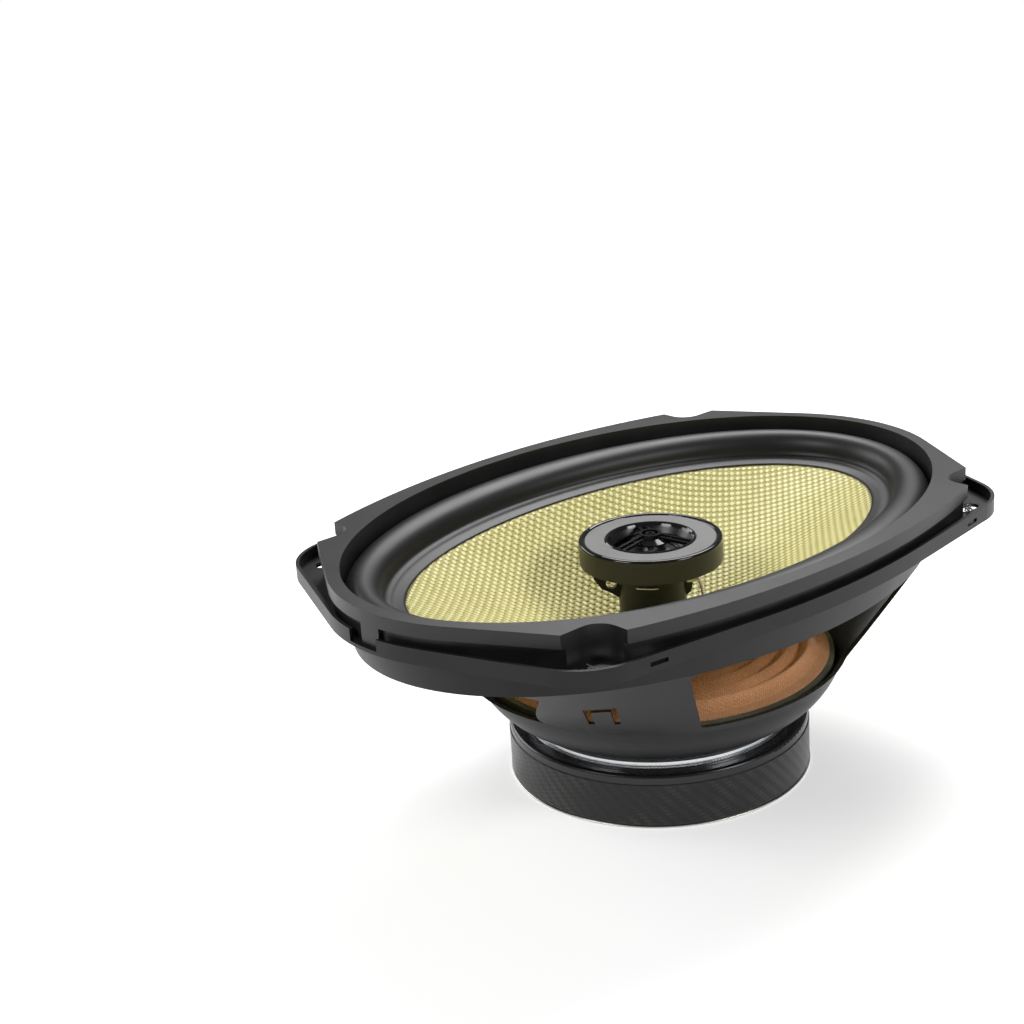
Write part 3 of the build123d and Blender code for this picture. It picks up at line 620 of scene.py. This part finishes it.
# ---------------------------------------------------------------- finishes
def frame_finishes(settings):
    """Material for each CAD node that stays in view."""
    black = plain("basket_steel", (0.008, 0.008, 0.0085), (0.012, 0.012, 0.0125), 0.42, relief=0.012 * MM, spread=0.12)
    black.set(specular=0.26)
    trim = plain("trim_plastic", (0.010, 0.010, 0.0105), (0.015, 0.015, 0.0155), 0.40, grain=0.22 * MM, relief=0.010 * MM)
    trim.set(specular=0.42)
    gloss = plain("tweeter_gloss", (0.005, 0.005, 0.005), (0.007, 0.007, 0.007), 0.10, spread=0.03, relief=0.001 * MM)
    gloss.set(roughness=0.34 - gloss.z.between(78.2 * MM, 79.0 * MM) * 0.26, specular=0.45)
    grey = plain("tweeter_grey", (0.13, 0.13, 0.128), (0.16, 0.16, 0.157), 0.48, relief=0.006 * MM)
    post = plain("post_plastic", (0.005, 0.005, 0.004), (0.008, 0.008, 0.007), 0.34)
    post.set(specular=0.35)
    steel = plain("bright_steel", (0.55, 0.55, 0.56), (0.75, 0.75, 0.76), 0.28, metallic=1.0)
    bead = plain("bead_sealant", (0.006, 0.006, 0.006), (0.012, 0.012, 0.012), 0.12, relief=0.6 * MM, grain=3.5 * MM)
    satin = plain("cover_satin", (0.009, 0.0095, 0.011), (0.012, 0.0125, 0.014), 0.26, relief=0.004 * MM)
    dark = plain("dark_film", (0.010, 0.010, 0.011), (0.020, 0.020, 0.021), 0.34)
    copper = plain("copper_wire", (0.45, 0.18, 0.08), (0.62, 0.28, 0.14), 0.32, metallic=0.8, grain=0.3 * MM, relief=0.05 * MM)
    board = plain("board_fibre", (0.10, 0.045, 0.02), (0.16, 0.075, 0.035), 0.55, grain=0.8 * MM, relief=0.02 * MM)
    # Greenish grey on the spider's landing ring, lighter than the black basket.
    fibre = plain("landing_fibre", (0.10, 0.105, 0.08), (0.16, 0.165, 0.13), 0.75, grain=0.6 * MM, relief=0.05 * MM)
    tin = plain("tinned", (0.62, 0.60, 0.54), (0.78, 0.76, 0.70), 0.30, metallic=1.0, grain=1.2 * MM, relief=0.03 * MM)
    sleeve = plain("capacitor_sleeve", (0.010, 0.020, 0.075), (0.014, 0.028, 0.10), 0.25)
    glue = plain("collar_glue", (0.05, 0.035, 0.02), (0.09, 0.06, 0.04), 0.25, grain=2 * MM, relief=0.2 * MM)
    ferrite = plain("ferrite", (0.035, 0.035, 0.037), (0.06, 0.06, 0.062), 0.7, grain=0.8 * MM, relief=0.03 * MM)
    foil = plain("former_foil", (0.16, 0.15, 0.14), (0.26, 0.25, 0.23), 0.45, metallic=1.0)
    brass = plain("insert_brass", (0.5, 0.36, 0.14), (0.7, 0.52, 0.22), 0.3, metallic=1.0)
    table = {
        black: ["basket"], trim: ["trim_ring"], gloss: ["tweeter_housing", "tweeter_grille"], grey: ["tweeter_face_plate"],
        post: ["tweeter_post"], steel: ["frame_rivets", "post_screw", "tweeter_cup", "tweeter_pole_plate", "tweeter_magnet"],
        bead: ["adhesive_bead"], satin: ["magnet_cover"], dark: ["tweeter_dome", "tweeter_surround"],
        copper: ["voice_coil_winding", "tweeter_coil"], board: ["terminal_board"], fibre: ["spider_landing_ring"],
        tin: ["solder_tag", "positive_terminal", "negative_terminal", "board_rivets", "capacitor_leads", "tweeter_lead"],
        sleeve: ["crossover_capacitor"], glue: ["cone_neck_collar"], ferrite: ["ferrite_magnet"], foil: ["voice_coil_former"],
        brass: ["post_insert"],
    }
    found = {node: paint.material for paint, nodes in table.items() for node in nodes}
    found.update(t_yoke=yoke_steel(), top_plate=turned_zinc(), magnet_wrap=twill_wrap(settings))
    return found


class SPEAKER_OT_finishes(bpy.types.Operator):
    """Procedural finishes on the CAD pieces, with softened edges on the ring, the basket and the tweeter"""

    bl_idname = "speaker.finishes"
    bl_label = "Apply finishes"

    def execute(self, context):
        edges = {"trim_ring": 0.4, "basket": 0.25, "tweeter_housing": 0.15, "magnet_cover": 0.12, "tweeter_grille": 0.12}
        for node, material in frame_finishes(context.scene.speaker_finish).items():
            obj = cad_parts[node]
            obj.data.materials.clear()
            obj.data.materials.append(material)
            if node in edges:
                bevel = obj.modifiers.new("edge", "BEVEL")
                bevel.width = edges[node] * MM
                bevel.segments = 2
                bevel.limit_method = "ANGLE"
                bevel.angle_limit = math.radians(50)
                bevel.harden_normals = True
        return {"FINISHED"}


# ---------------------------------------------------------------- stage
class SPEAKER_OT_stage(bpy.types.Operator):
    """Pale floor, soft lights and the camera"""

    bl_idname = "speaker.stage"
    bl_label = "Set stage"

    def area(self, name, place, target, size, power):
        light = bpy.data.lights.new(name, "AREA")
        light.shape = "RECTANGLE"
        light.size, light.size_y = size
        light.energy = power
        obj = bpy.data.objects.new(name, light)
        obj.location = place
        obj.rotation_euler = (Vector(target) - Vector(place)).to_track_quat("-Z", "Y").to_euler()
        bpy.context.scene.collection.objects.link(obj)

    def execute(self, context):
        s = context.scene.speaker_stage
        mesh = bpy.data.meshes.new("floor")
        radius, half_turn = 1.05, 48
        rim = [(radius * math.cos(step * math.pi / half_turn), radius * math.sin(step * math.pi / half_turn), 0)
               for step in range(2 * half_turn)]
        mesh.from_pydata(rim, [], [tuple(range(2 * half_turn))])
        floor = bpy.data.objects.new("floor", mesh)
        context.scene.collection.objects.link(floor)
        paint = Paint("floor_paint")
        pale = paint.mix((0.90, 0.90, 0.90), (0.93, 0.93, 0.93), paint.noise(0.6, 2.0))
        paint.set(colour=pale, roughness=0.9, specular=0.1)
        paint.shader.inputs["Emission Color"].default_value = (1, 1, 1, 1)
        paint.shader.inputs["Emission Strength"].default_value = 0.42
        floor.data.materials.append(paint.material)

        forward = Vector((math.sin(s.yaw) * math.cos(s.pitch), math.cos(s.yaw) * math.cos(s.pitch), -math.sin(s.pitch)))
        right = Vector((math.cos(s.yaw), -math.sin(s.yaw), 0))
        up = right.cross(forward)
        side = math.cos(s.roll) * right + math.sin(s.roll) * up
        top = math.cos(s.roll) * up - math.sin(s.roll) * right
        data = bpy.data.cameras.new("camera")
        data.lens = s.lens
        data.sensor_width = 36.0
        camera = bpy.data.objects.new("camera", data)
        turn = Matrix((side, top, -forward)).transposed().to_4x4()
        camera.matrix_world = Matrix.Translation(Vector(s.eye)) @ turn
        context.scene.collection.objects.link(camera)
        context.scene.camera = camera

        ring_height = (0, 0, 0.08)
        self.area("high", (0.62, 0.40, 0.95), ring_height, (0.8, 0.6), s.key)
        self.area("back_left", (-0.25, 1.15, 0.42), (0, 0, 0.07), (0.9, 0.45), s.fill)
        self.area("box_left", (-1.0, 0.10, 0.85), ring_height, (0.5, 0.35), s.fill)
        self.area("box_right", (0.25, -1.0, 0.72), ring_height, (0.4, 0.3), s.fill * 0.9)

        world = bpy.data.worlds.new("studio")
        world.use_nodes = True
        context.scene.world = world
        tree = world.node_tree
        tree.nodes.clear()
        path = tree.nodes.new("ShaderNodeLightPath")
        even = tree.nodes.new("ShaderNodeBackground")
        even.inputs["Strength"].default_value = s.sky
        seen = tree.nodes.new("ShaderNodeBackground")
        seen.inputs["Color"].default_value = (1, 1, 1, 1)
        seen.inputs["Strength"].default_value = 1.0
        even.inputs["Color"].default_value = (1, 1, 1, 1)
        mix = tree.nodes.new("ShaderNodeMixShader")
        out = tree.nodes.new("ShaderNodeOutputWorld")
        tree.links.new(path.outputs["Is Camera Ray"], mix.inputs[0])
        tree.links.new(even.outputs[0], mix.inputs[1])
        tree.links.new(seen.outputs[0], mix.inputs[2])
        tree.links.new(mix.outputs[0], out.inputs[0])
        context.scene.view_settings.view_transform = "Standard"
        return {"FINISHED"}


# ---------------------------------------------------------------- panel and registration
class SPEAKER_PT_panel(bpy.types.Panel):
    """Steps that build the speaker's looks"""

    bl_label = "Oval coaxial speaker"
    bl_idname = "SPEAKER_PT_panel"
    bl_space_type = "VIEW_3D"
    bl_region_type = "UI"
    bl_category = "Speaker"

    def draw(self, context):
        for step in STEPS:
            self.layout.operator(step.bl_idname)
        for group in (context.scene.speaker_soft, context.scene.speaker_finish, context.scene.speaker_stage):
            box = self.layout.box()
            for name in group.bl_rna.properties.keys():
                if name not in ("rna_type", "name"):
                    box.prop(group, name)


GROUPS = {"speaker_soft": SpeakerSoftSettings, "speaker_finish": SpeakerFinishSettings, "speaker_stage": SpeakerStageSettings}
STEPS = (SPEAKER_OT_surround, SPEAKER_OT_cone, SPEAKER_OT_spider, SPEAKER_OT_leads, SPEAKER_OT_glue,
         SPEAKER_OT_finishes, SPEAKER_OT_stage)


def register():
    for item in (*GROUPS.values(), *STEPS, SPEAKER_PT_panel):
        bpy.utils.register_class(item)
    for name, group in GROUPS.items():
        setattr(bpy.types.Scene, name, bpy.props.PointerProperty(type=group))


def unregister():
    for name in GROUPS:
        delattr(bpy.types.Scene, name)
    for item in reversed((*GROUPS.values(), *STEPS, SPEAKER_PT_panel)):
        bpy.utils.unregister_class(item)


def main():
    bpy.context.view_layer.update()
    register()
    bpy.ops.speaker.surround()
    bpy.ops.speaker.cone()
    bpy.ops.speaker.spider()
    bpy.ops.speaker.leads()
    bpy.ops.speaker.glue()
    bpy.ops.speaker.finishes()
    bpy.ops.speaker.stage()


if __name__ == "__main__":
    main()
